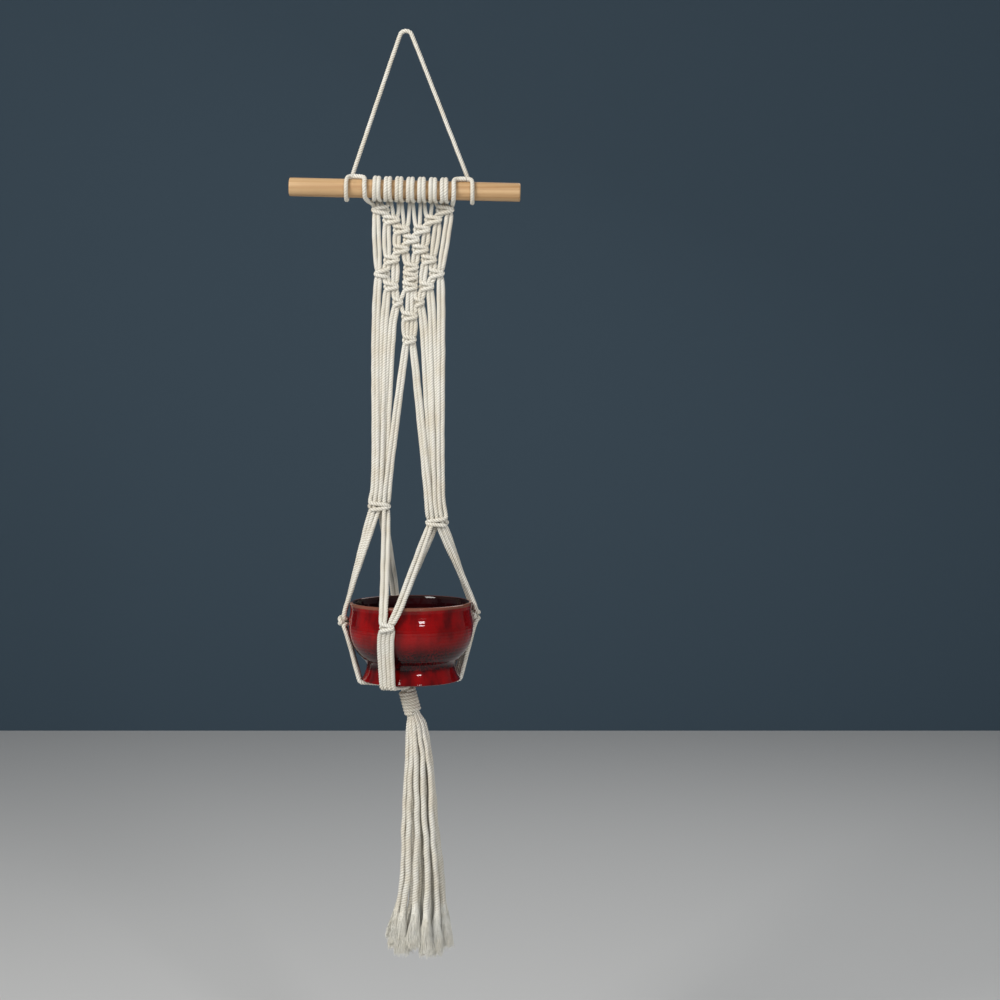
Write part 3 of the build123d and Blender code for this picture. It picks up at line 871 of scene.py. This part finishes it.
@dataclass
class Routes:
    """Every cord's route, as points and widths, on the same plan as the CAD tubes."""

    panel: Panel = field(default_factory=Panel)
    hitch_at: dict[Side, float] = field(
        default_factory=lambda: {Side.LEFT: -50.2, Side.RIGHT: 58.6}
    )
    over_at: dict[Side, float] = field(
        default_factory=lambda: {Side.LEFT: -34.3, Side.RIGHT: 42.4}
    )
    hitch_angle: float = 78.0
    hitch_tail: float = 5.2
    hitch_gap: float = 0.45
    hook_radius: float = 4.0
    mirror_x: float = 0.65
    approach_rise: float = 17.0
    head_pitch: float = 9.7
    head_middle: float = 5.0
    head_back: float = 2.35
    head_front: float = 3.0

    def __post_init__(self) -> None:
        """Lay out the panel's knots and the two group knots."""
        self.panel_knots = self.panel.knots()
        left = Knot((1, 2, 3, 4, 5, 7, 6, 8), (-24.6, 2.6, -405.2), 4.3, 2.9, layers=2)
        strands = (9, 10, 11, 13, 12, 15, 14, 16)
        right = Knot(strands, (25.9, 2.6, -419.2), 4.3, 2.9, layers=2, front=Side.RIGHT)
        self.group_knots = {Side.LEFT: left, Side.RIGHT: right}

    def hitch(self, side: Side) -> list[Array]:
        """Return the hitch: down the dowel's back, round, up the front and over the leg."""
        middle, radius = self.hitch_at[side], DOWEL.wrap_radius(CORD.loop)
        shifts = {120: 3.3, 150: 1.8, 180: 0.5, 420: 0.6}
        points = [
            DOWEL.point(middle - side.value * shifts.get(angle, 0.0), angle, radius)
            for angle in range(120, 421, DOWEL.step)
        ]
        for shift in (2.7, self.hitch_tail):
            points.append(DOWEL.point(middle - side.value * shift, self.hitch_angle, radius))
        return points

    def loop(self) -> list[Station]:
        """Return the hanging loop from its left hitch over the hook to its right hitch."""
        radius, steps = self.hook_radius + CORD.loop / 2 + 0.1, 5
        start, end = 180 - 22.5, 25.0
        arc = []
        for index in range(steps + 1):
            turn = math.radians(start + (end - start) * index / steps)
            x, z = radius * math.cos(turn), radius * math.sin(turn) - self.hook_radius
            arc.append(vec(x, 0.0, z))
        points = [*reversed(self.hitch(Side.LEFT)), *arc, *self.hitch(Side.RIGHT)]
        return [(point, CORD.loop) for point in points]

    def outer(self, side: Side) -> list[Station]:
        """Return the hanging cord's tail along the dowel, over its front and under it."""
        turn = self.over_at[side]
        start = self.hitch_at[side] - side.value * (self.hitch_tail + self.hitch_gap)
        radius = DOWEL.wrap_radius(CORD.loop)
        stations = [(DOWEL.point(start, self.hitch_angle, radius), CORD.loop)]
        bend = turn + side.value * 2.4
        stations.append((DOWEL.point(bend, self.hitch_angle, radius), CORD.free))
        for angle in (56, 28, 0, -28, -62):
            stations.append((DOWEL.point(turn, angle, DOWEL.wrap_radius(CORD.free)), CORD.free))
        strand = 1 if side is Side.LEFT else CORD.strands
        knot = next(k for k in self.panel_knots if strand in k.strands)
        stations.append((knot.worker(side)[0] + vec(0, -0.4, 1.9), CORD.free))
        return stations

    def lark_head(self, strand: int) -> list[Station]:
        """Return half of a lark's head, from the bar behind to the tail that hangs behind."""
        head, side = strand // 2, (-1 if strand % 2 == 0 else 1)
        middle = self.head_middle + (head - 4) * self.head_pitch
        radius = DOWEL.wrap_radius(self.head_back)
        bar = radius + self.head_back * 1.05
        stations = [
            (DOWEL.point(middle + side * 2.6, -174, bar), self.head_back),
            (DOWEL.point(middle + side * 3.6, -164, bar - 0.9), self.head_back),
        ]
        for angle in range(-150, 181, DOWEL.step):
            front = -60 <= angle <= 60
            width = self.head_front if front else self.head_back
            if angle < -90:
                out = 3.6
            elif angle == -90:
                out = 2.7
            else:
                out = 1.7 if front else 1.35 if angle < 150 else 1.21
            place = DOWEL.point(middle + side * out, angle, DOWEL.wrap_radius(width))
            stations.append((place, width))
        tail = DOWEL.point(middle + side * 1.4, 180, radius) - vec(0, 0, 8.0)
        stations.append((tail, self.head_back))
        return stations

    def group_approach(self, strand: int, knot: Knot) -> Array:
        """Return where a strand closes up with its group above the group knot."""
        places = {
            1: (-28.9, 0.0), 2: (-25.7, -1.0), 3: (-25.7, 1.0), 4: (-22.3, -1.0),
            5: (-22.3, 1.0), 6: (-18.9, 1.0), 7: (-18.9, -1.0), 8: (-15.6, -0.3),
        }
        left = strand <= CORD.strands // 2
        x, layer = places[strand if left else CORD.strands + 1 - strand]
        x = x if left else 2 * self.mirror_x - x
        y = knot.top[1] + layer * CORD.free * 0.52
        return vec(x, y, knot.top[2] + self.approach_rise)

    def bundle_offset(self, heading: Heading, order: int, spread: float = 0.0) -> Array:
        """Return where a strand lies in the bound bundle, from its axis."""
        radius = (CRADLE.inner if order == 2 else CRADLE.outer) + spread
        turn = math.radians(BUNDLE_TURN[heading] + SLOT_TURN[order])
        return CRADLE.across() * radius * math.sin(turn) - vec(0, 1, 0) * radius * math.cos(turn)

    def below_pot(self, heading: Heading, order: int) -> list[Station]:
        """Return the way down the belly, round the foot, to the middle and through the wrap."""
        azimuth, inner = heading.value, order == 2
        across = (order - 1.5) * CRADLE.pitch
        aside, level = CRADLE.under_pot[order]
        toward = CRADLE.hub - POT.x * math.sin(math.radians(azimuth))
        foot = POT.foot_z
        turned = azimuth + {Heading.FRONT: -6.5, Heading.RIGHT: 5.0}.get(heading, 0.0)
        stations = [
            (POT.around((azimuth + turned) / 2, 56.0, across, -519.5), CORD.free),
            (POT.around(turned, 45.7, across * 0.97, foot + 1.8), CORD.free),
            (POT.around(turned, 44.5, across * 0.95, foot - 2.0), CORD.free),
            (POT.around(turned, 38.0, across * 0.85, foot - 2.0), CORD.free),
            (POT.around(azimuth, toward, aside, level), 2.4),
        ]
        turn_level = -562.9 if inner else -565.2
        top, bottom, axis = np.array(CRADLE.wrap_top), np.array(CRADLE.wrap_bottom), CRADLE.axis()
        for spread, drop, width in ((2.8, 0.0, 2.1), (0.5, 0.8, CORD.bound)):
            offset = self.bundle_offset(heading, order, spread)
            stations.append((vec(top[0] + offset[0], offset[1], turn_level - drop), width))
        bound = self.bundle_offset(heading, order)
        stations.append((top - axis * (2.4 if inner else 0.2) + bound, CORD.bound))
        stations.append((bottom + bound, CORD.bound))
        flare = bottom + axis * CRADLE.flare + bound * (CRADLE.flare_spread / CRADLE.outer)
        below = self.tail_points(heading, order)[0]
        stations.append((flare, CORD.free))
        stations.append((flare + unit(below - flare) * 3.0, CORD.free))
        return stations

    def tail_points(self, heading: Heading, order: int) -> list[Array]:
        """Return where one free end hangs, from the first level below the wrap to its cut."""
        strand = GROUPS[heading][order]
        turn = BUNDLE_TURN[heading] + SLOT_TURN[order]
        cut = TASSEL.end + TASSEL.ragged * math.sin(2.4 * strand)
        end = (cut, TASSEL.end_middle, TASSEL.end_radius)
        points = []
        for index, (z, middle, radius) in enumerate([*TASSEL.levels, end]):
            angle = math.radians(turn + TASSEL.sway * math.sin(2.1 * strand + 2.2 * index))
            out = radius * (TASSEL.inner if order == 2 else 1.0)
            out *= 1 + 0.06 * math.sin(1.7 * strand + 0.9 * index)
            points.append(vec(middle + out * math.sin(angle), -out * math.cos(angle) * 0.85, z))
        return points

    def strand(self, strand: int) -> list[Station]:
        """Return a strand's whole route from the dowel to below the wrap."""
        if strand == 1:
            stations = self.outer(Side.LEFT)
        elif strand == CORD.strands:
            stations = self.outer(Side.RIGHT)
        else:
            stations = self.lark_head(strand)
        for knot in self.panel_knots:
            if strand in knot.strands:
                stations += knot.route(strand)
        stations += self.panel.column(strand)
        group = self.group_knots[Side.LEFT if strand <= CORD.strands // 2 else Side.RIGHT]
        stations.append((self.group_approach(strand, group), CORD.free))
        stations += group.route(strand)
        heading = next(h for h, strands in GROUPS.items() if strand in strands)
        order = GROUPS[heading].index(strand)
        across = (order - 1.5) * CRADLE.pitch
        over_rim = CRADLE.front_over_rim[order] if heading is Heading.FRONT else across
        rim = POT.around(heading.value, CRADLE.rim_radius, over_rim, CRADLE.rim_z)
        stations.append((rim, CORD.free))
        top = tuple(POT.around(heading.value, CRADLE.knot_radius, 0.0, KNOT_LEVEL[heading]))
        knot = Knot(GROUPS[heading], top, CRADLE.pitch, CRADLE.width, facing=heading.value)
        stations += knot.route(strand)
        return stations + self.below_pot(heading, order)

    def wrap(self) -> list[Station]:
        """Return the gathering wrap's helix."""
        radius = CRADLE.outer + CORD.bound / 2 + 0.2 + CORD.wrap / 2
        top, bottom, axis = np.array(CRADLE.wrap_top), np.array(CRADLE.wrap_bottom), CRADLE.axis()
        rise = float(np.linalg.norm(bottom - top)) - CORD.wrap
        per_turn, count = 12, 12 * CRADLE.turns
        stations = []
        for index in range(count + 1):
            turn = 2 * math.pi * index / per_turn
            out = CRADLE.across() * math.sin(turn) - vec(0, 1, 0) * math.cos(turn)
            along = CORD.wrap / 2 + rise * index / count
            stations.append((top + axis * along + out * radius * 1.035, CORD.wrap))
        return stations


# The pieces that are seen


def stand_for(piece: bpy.types.Object, node: str) -> bpy.types.Object:
    """Let a piece stand for a CAD node, whose part is hidden."""
    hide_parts(node)
    return piece


@dataclass
class CordWork:
    """All of the hanger's cord."""

    routes: Routes
    material: bpy.types.Material
    combed: bpy.types.Material
    twisted_run: float = 12.0

    def dress(self, rope: Rope, node: str) -> bpy.types.Object:
        """Build a rope and let it stand for its CAD node."""
        piece = stand_for(rope.build(self.material), node)
        log.info("%s: %.0f mm", rope.name, rope.length)
        return piece

    def place(self, rope: Rope, body: Body, node: str) -> bpy.types.Object:
        """Build a rope that stands for its CAD node and rides on one body."""
        piece = self.dress(rope, node)
        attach(piece, body.value)
        return piece

    def build(self) -> None:
        """Build the loop, the held cords, the wrap and the tassel."""
        self.build_loop()
        for number in range(1, 8):
            left = self.routes.strand(2 * number)
            right = self.routes.strand(2 * number + 1)
            rope = Rope(f"panel_cord_{number}", [*reversed(left), *right], 10 * number)
            self.place(rope, Body.MACRAME, f"cord_{number}")
        for side, strand in ((Side.LEFT, 1), (Side.RIGHT, CORD.strands)):
            self.build_outer(side, strand)
        section = RopeSection(wander=0.0, fullness=1.3, depth=0.22)
        wrap = Rope("wrap_rope", self.routes.wrap(), 200, section)
        self.place(wrap, Body.MACRAME, "gathering_wrap")
        self.build_tassel()

    def build_outer(self, side: Side, strand: int) -> None:
        """Build the strand that goes on from a hitch.

        Args:
            side: The hitch that it comes from.
            strand: Its number in the panel.
        """
        node = f"{side.name.lower()}_outer_strand"
        stations = self.routes.strand(strand)
        piece = self.dress(Rope(f"{node}_rope", stations, 100 + strand), node)
        start = stations[0][0]
        # The strand runs inwards along the dowel and then down its front, so the way slants between them.
        end = start + vec(-0.6 * side.value, 0.0, -0.8) * self.twisted_run
        tuple(start * MM)
        tuple(end * MM)
        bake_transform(piece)

    def build_loop(self) -> None:
        """Build the loop that hangs on the hook, pulled taut."""
        rope = Rope("loop_rope", self.routes.loop(), 300, RopeSection(wander=0.06, fullness=1.16))
        piece = self.place(rope, Body.LOOP, "hanging_loop")
        tuple(rope.line[0] * MM)
        CORD.loop * MM
        rope.line * MM

    def build_tassel(self) -> None:
        """Build the sixteen free ends below the wrap, each with its frayed fibres."""
        section = RopeSection(depth=0.22, wander=0.5, swell=0.46)
        for heading, strands in GROUPS.items():
            for order, strand in enumerate(strands):
                start = self.routes.below_pot(heading, order)[-1][0]
                points = [start, *self.routes.tail_points(heading, order)]
                stations = [(point, CORD.free) for point in points]
                name = f"tassel_rope_{strand:02d}"
                rope = Rope(name, stations, 400 + strand, section, unlaid=46.0)
                piece = self.place(rope, Body.MACRAME, f"tassel_tail_{strand:02d}")
                fringe = Fringe(f"tassel_fringe_{strand:02d}", rope, 600 + strand)
                fibres = fringe.build(self.combed)
                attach(fibres, Body.MACRAME.value)
                tuple(rope.line[0] * MM)
                rope.line * MM


@dataclass
class Fringe:
    """The loose fibres that a cord's cut end opens into."""

    name: str
    rope: Rope
    seed: int
    count: int = 620
    reach: float = 60.0
    thickness: float = 0.5
    joints: int = 9
    fan: float = 6.4
    core: float = 1.3
    wave: float = 0.45
    bend: float = 1.6

    def build(self, material: bpy.types.Material) -> bpy.types.Object:
        """Make every fibre as a thin three-sided strand that leaves the cord and fans out.

        A fibre starts beside the cord's line at a random place in its last part, keeps the cord's
        direction and moves out by spread * t^bend with a slow wave, where t runs from 0 to 1.

        Args:
            material: The fibres' finish.

        Returns:
            All of the fibres as one mesh object.
        """
        rng = np.random.default_rng(self.seed)
        line, total = self.rope.line, self.rope.length
        along = np.linspace(0, total, len(line))
        _, normal, binormal = carried_frames(line)
        start = total - self.reach * rng.uniform(0.35, 1.0, self.count)
        end = total + rng.normal(-1.5, 2.2, self.count).clip(-7.0, 3.5)
        t = np.linspace(0, 1, self.joints)[None, :]
        place = start[:, None] + (end - start)[:, None] * t
        beyond = np.clip(place - total, 0, None)
        inside = np.minimum(place, total)
        centre = np.stack([np.interp(inside, along, line[:, k]) for k in range(3)], -1)
        centre = centre - beyond[:, :, None] * np.array([0.0, 0.0, 1.0])
        turn = rng.uniform(0, 2 * math.pi, self.count)[:, None]
        turn = turn + 0.9 * np.sin(2.5 * t + rng.uniform(0, 6.28, self.count)[:, None])
        spread = rng.uniform(0.3, 1.0, self.count)[:, None] ** 0.6 * self.fan
        wave = self.wave * np.sin(7 * t + rng.uniform(0, 6.28, self.count)[:, None]) * t
        out = self.core + spread * t**self.bend + wave
        side = np.array([np.interp(inside, along, normal[:, k]) for k in range(3)])
        other = np.array([np.interp(inside, along, binormal[:, k]) for k in range(3)])
        way = side * np.cos(turn) + other * np.sin(turn)
        centre = centre + np.moveaxis(way * out, 0, -1)
        thick = self.thickness * (1 - 0.45 * t) * rng.uniform(0.7, 1.25, self.count)[:, None]
        corner = 2 * math.pi * np.arange(3) / 3
        ring = np.cos(corner)[:, None] * vec(1, 0, 0) + np.sin(corner)[:, None] * vec(0, 1, 0)
        vertices = centre[:, :, None, :] + ring[None, None] * (thick / 2)[:, :, None, None]
        per_fibre = self.joints * 3
        strip = np.array(ring_faces(self.joints, 3))
        faces = strip[None] + (np.arange(self.count) * per_fibre)[:, None, None]
        points = vertices.reshape(-1, 3)
        attributes = {
            "groove": np.repeat(rng.uniform(0.0, 0.24, self.count), per_fibre),
            "along": np.repeat(place.reshape(-1) * MM, 3),
            "around": np.repeat(rng.uniform(0, 1, self.count), per_fibre),
        }
        quads = [tuple(face) for face in faces.reshape(-1, 4).tolist()]
        return put_mesh(self.name, points, quads, attributes, material)


def curve_through(points: Sequence[tuple[float, float]], count: int) -> Array:
    """Return a smooth cubic line through points, by chord length, with free ends.

    Args:
        points: Points to pass through, as pairs.
        count: Number of points to return.

    Returns:
        The line's points, one row each.
    """
    known = np.array(points, dtype=float)
    t = np.concatenate([[0.0], np.cumsum(np.linalg.norm(np.diff(known, axis=0), axis=1))])
    gaps = np.diff(t)
    size = len(t)
    matrix, right = np.eye(size), np.zeros((size, 2))
    for i in range(1, size - 1):
        matrix[i, i - 1 : i + 2] = gaps[i - 1], 2 * (gaps[i - 1] + gaps[i]), gaps[i]
        slopes = (known[i + 1] - known[i]) / gaps[i] - (known[i] - known[i - 1]) / gaps[i - 1]
        right[i] = 6 * slopes
    bend = np.linalg.solve(matrix, right)
    wanted = np.linspace(0, t[-1], count)
    cell = np.clip(np.searchsorted(t, wanted, side="right") - 1, 0, size - 2)
    h = gaps[cell][:, None]
    a = ((t[cell + 1] - wanted)[:, None]) / h
    b = 1 - a
    line = a * known[cell] + b * known[cell + 1]
    return line + ((a**3 - a) * bend[cell] + (b**3 - b) * bend[cell + 1]) * h**2 / 6


@dataclass
class Pot:
    """The glazed pot, turned on a wheel."""

    form: PotForm
    material: bpy.types.Material
    sides: int = 144
    outside_rings: int = 70
    inside_rings: int = 60
    rim_rings: int = 12
    glazed_rim: int = 8
    throwing: float = 0.10
    throwing_wave: float = 2.1
    wobble: tuple[tuple[float, int, float], ...] = ((0.16, 2, 0.7), (0.07, 5, 2.0))

    def profile(self) -> tuple[Array, Array]:
        """Return the wall's outline from under the foot over the rim to the inside floor.

        Returns:
            The outline's radius and level, and 1 where a point is inside the pot.
        """
        form = self.form
        floor = form.foot_z + form.floor
        outside = curve_through(form.outline, self.outside_rings)[::-1]
        inner = [(form.floor_radius, floor), *form.inner]
        inside = curve_through(inner, self.inside_rings)[::-1]
        middle = (outside[-1] + inside[0]) / 2
        half = (outside[-1, 0] - inside[0, 0]) / 2
        turn = np.linspace(0, math.pi, self.rim_rings + 2)[1:-1]
        rise = form.rim_top - outside[-1, 1]
        rim = np.column_stack([middle[0] + half * np.cos(turn), middle[1] + rise * np.sin(turn)])
        foot = np.array(form.foot) + np.array([0.0, form.foot_z])
        base = np.array(form.base) + np.array([0.0, floor])
        line = np.vstack([foot, outside, rim, inside, base])
        # The inside begins where the glazed rim ends, a little past its crest.
        within = np.zeros(len(line))
        within[len(foot) + len(outside) + self.glazed_rim :] = 1.0
        return line, within

    def build(self) -> bpy.types.Object:
        """Turn the outline about the pot's axis, with a slight wobble and throwing rings."""
        line, within = self.profile()
        angles = np.linspace(0, 2 * math.pi, self.sides, endpoint=False)
        level = (line[:, 1] - self.form.foot_z) / (self.form.rim_top - self.form.foot_z)
        rings = self.throwing * np.sin(line[:, 1] * self.throwing_wave) * np.clip(level * 4, 0, 1)
        wobble = sum(depth * np.sin(lobes * angles + phase) for depth, lobes, phase in self.wobble)
        uneven = wobble[None, :] * np.clip(level, 0, 1)[:, None]
        radius = line[:, 0][:, None] + rings[:, None] + uneven
        radius = np.maximum(radius, 0.01)
        x = self.form.x + radius * np.cos(angles)
        y = radius * np.sin(angles)
        z = np.repeat(line[:, 1][:, None], self.sides, axis=1)
        vertices = np.stack([x, y, z], -1).reshape(-1, 3)
        faces = closed_faces(len(line), self.sides)
        # The inside value paints shade over the pot's inside, in the glaze.
        attributes = {"level": np.repeat(level, self.sides), "inside": np.repeat(within, self.sides)}
        piece = put_mesh("glazed_pot", vertices, faces, attributes, self.material)
        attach(piece, Body.PLANTER.value)
        log.info("glazed_pot: %d rings", len(line))
        return stand_for(piece, "pot")


@dataclass
class Rod:
    """The wooden dowel."""

    form: DowelForm
    material: bpy.types.Material
    sides: int = 72
    rings: int = 60
    ends: tuple[tuple[float, float], ...] = (
        (0.02, 0.0), (3.0, 0.0), (6.2, 0.0), (7.15, 0.06), (7.65, 0.3), (7.93, 0.75), (8.0, 1.4),
    )

    def build(self) -> bpy.types.Object:
        """Turn the dowel, with softened ends and a barely uneven surface."""
        form = self.form
        half = form.length / 2
        left = [(-half + inset, radius) for radius, inset in self.ends]
        body = [(x, form.radius) for x in np.linspace(-half + 6, half - 6, self.rings)]
        right = [(-x, radius) for x, radius in reversed(left)]
        line = np.array(left + body + right)
        angles = np.linspace(0, 2 * math.pi, self.sides, endpoint=False)
        rough = slow_noise(line[:, 0], 40.0, 7)[:, None] * np.cos(2 * angles)[None, :] * 0.05
        radius = np.maximum(line[:, 1][:, None] - np.abs(rough), 0.01)
        up = vec(math.sin(form.slope), 0.0, math.cos(form.slope))
        centre = np.array(form.centre) + line[:, 0][:, None] * form.axis()
        front = vec(0, 1, 0)[None, :] * np.cos(angles)[:, None]
        offset = up[None, :] * np.sin(angles)[:, None] - front
        vertices = centre[:, None, :] + radius[:, :, None] * offset[None, :, :]
        faces = closed_faces(len(line), self.sides)
        piece = put_mesh("wooden_dowel", vertices.reshape(-1, 3), faces, {}, self.material)
        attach(piece, Body.ROD.value)
        log.info("wooden_dowel: %.0f mm", form.length)
        return stand_for(piece, "dowel")


# Camera, light and surroundings


@dataclass(frozen=True)
class Lamp:
    """One soft square lamp: its place and width in metres, its power in watts and its colour."""

    name: str
    place: Point
    width: float
    power: float
    colour: Point = (1.0, 1.0, 1.0)


@dataclass(frozen=True)
class Studio:
    """Camera, plain soft light, a pale floor and a muted backdrop."""

    eye: Point = (0.081, -1.70, -0.302)
    target: Point = (0.081, 0.0, -0.403)
    middle: Point = (0.0, 0.0, -0.4)
    lens: float = 70.2
    reach: float = 4.0
    wall_y: float = 2.2
    floor_z: float = -1.0
    wall_top: float = 3.0
    floor_colour: Point = (0.66, 0.66, 0.65)
    wall_colour: Point = (0.051, 0.085, 0.117)
    sky_colour: Point = (0.82, 0.85, 0.90)
    sky_strength: float = 0.26
    lamps: tuple[Lamp, ...] = (
        Lamp("key", (-1.2, -1.4, 0.75), 0.8, 40.0, (1.0, 0.98, 0.95)),
        Lamp("window", (0.75, -1.75, 0.15), 0.34, 12.0, (0.98, 0.99, 1.0)),
        Lamp("rim", (0.6, 1.2, 0.9), 1.0, 9.0),
    )

    def aim(self, thing: bpy.types.Object, target: Point) -> None:
        """Turn a light or camera to look at a point."""
        direction = np.array(target) - np.array(thing.location)
        flat = math.hypot(direction[0], direction[1])
        pitch = math.atan2(flat, -direction[2])
        yaw = math.atan2(direction[1], direction[0]) - math.pi / 2
        thing.rotation_euler = (pitch, 0.0, yaw)

    def camera(self) -> None:
        """Put the camera where the photograph was taken from."""
        data = bpy.data.cameras.new("photo_camera")
        data.lens, data.sensor_width = self.lens, 36.0
        data.clip_start, data.clip_end = 0.05, 30.0
        made = bpy.data.objects.new("photo_camera", data)
        made.location = self.eye
        bpy.context.collection.objects.link(made)
        self.aim(made, self.target)
        bpy.context.scene.camera = made

    def light(self, lamp: Lamp) -> None:
        """Add one lamp, aimed at the hanger's middle."""
        data = bpy.data.lights.new(lamp.name, "AREA")
        data.shape, data.size, data.energy, data.color = "SQUARE", lamp.width, lamp.power, lamp.colour
        made = bpy.data.objects.new(lamp.name, data)
        made.location = lamp.place
        bpy.context.collection.objects.link(made)
        self.aim(made, self.middle)

    def sheet(self, name: str, corners: Sequence[Point], colour: Point) -> bpy.types.Object:
        """Make one matt four-cornered piece of the surroundings, its corners in metres."""
        material = ShaderTree(name).finish(Base_Color=colour, Roughness=0.9)
        return put_mesh(name, np.array(corners) / MM, [(0, 1, 2, 3)], {}, material)

    def sweep(self) -> None:
        """Build the floor and backdrop as two plain stage pieces."""
        x, y, low, top = self.reach, self.wall_y, self.floor_z, self.wall_top
        floor = [(-x, -x, low), (x, -x, low), (x, y, low), (-x, y, low)]
        wall = [(-x, y, low), (-x, y, top), (x, y, top), (x, y, low)]
        self.sheet("stage_floor", floor, self.floor_colour)
        self.sheet("stage_backdrop", wall, self.wall_colour)

    def build(self) -> None:
        """Set the whole studio and the plain view transform."""
        self.camera()
        self.sweep()
        for lamp in self.lamps:
            self.light(lamp)
        world = bpy.data.worlds.new("plain_world")
        world.use_nodes = True
        background = world.node_tree.nodes["Background"]
        background.inputs[0].default_value = (*self.sky_colour, 1.0)
        background.inputs[1].default_value = self.sky_strength
        bpy.context.scene.world = world
        bpy.context.scene.view_settings.view_transform = "Standard"
        log.info("studio: camera, floor, backdrop and %d lamps", len(self.lamps))


def main() -> None:
    """Build the studio and every visible piece."""
    logging.basicConfig(level=logging.INFO, format="%(name)s: %(message)s")
    Studio().build()
    cotton, combed = cotton_material(CottonFinish()), cotton_material(COMBED_LIT_COTTON)
    CordWork(Routes(), cotton, combed).build()
    Rod(DOWEL, wood_material(WoodFinish())).build()
    Pot(POT, glaze_material(GlazeFinish())).build()


if __name__ == "__main__":
    main()
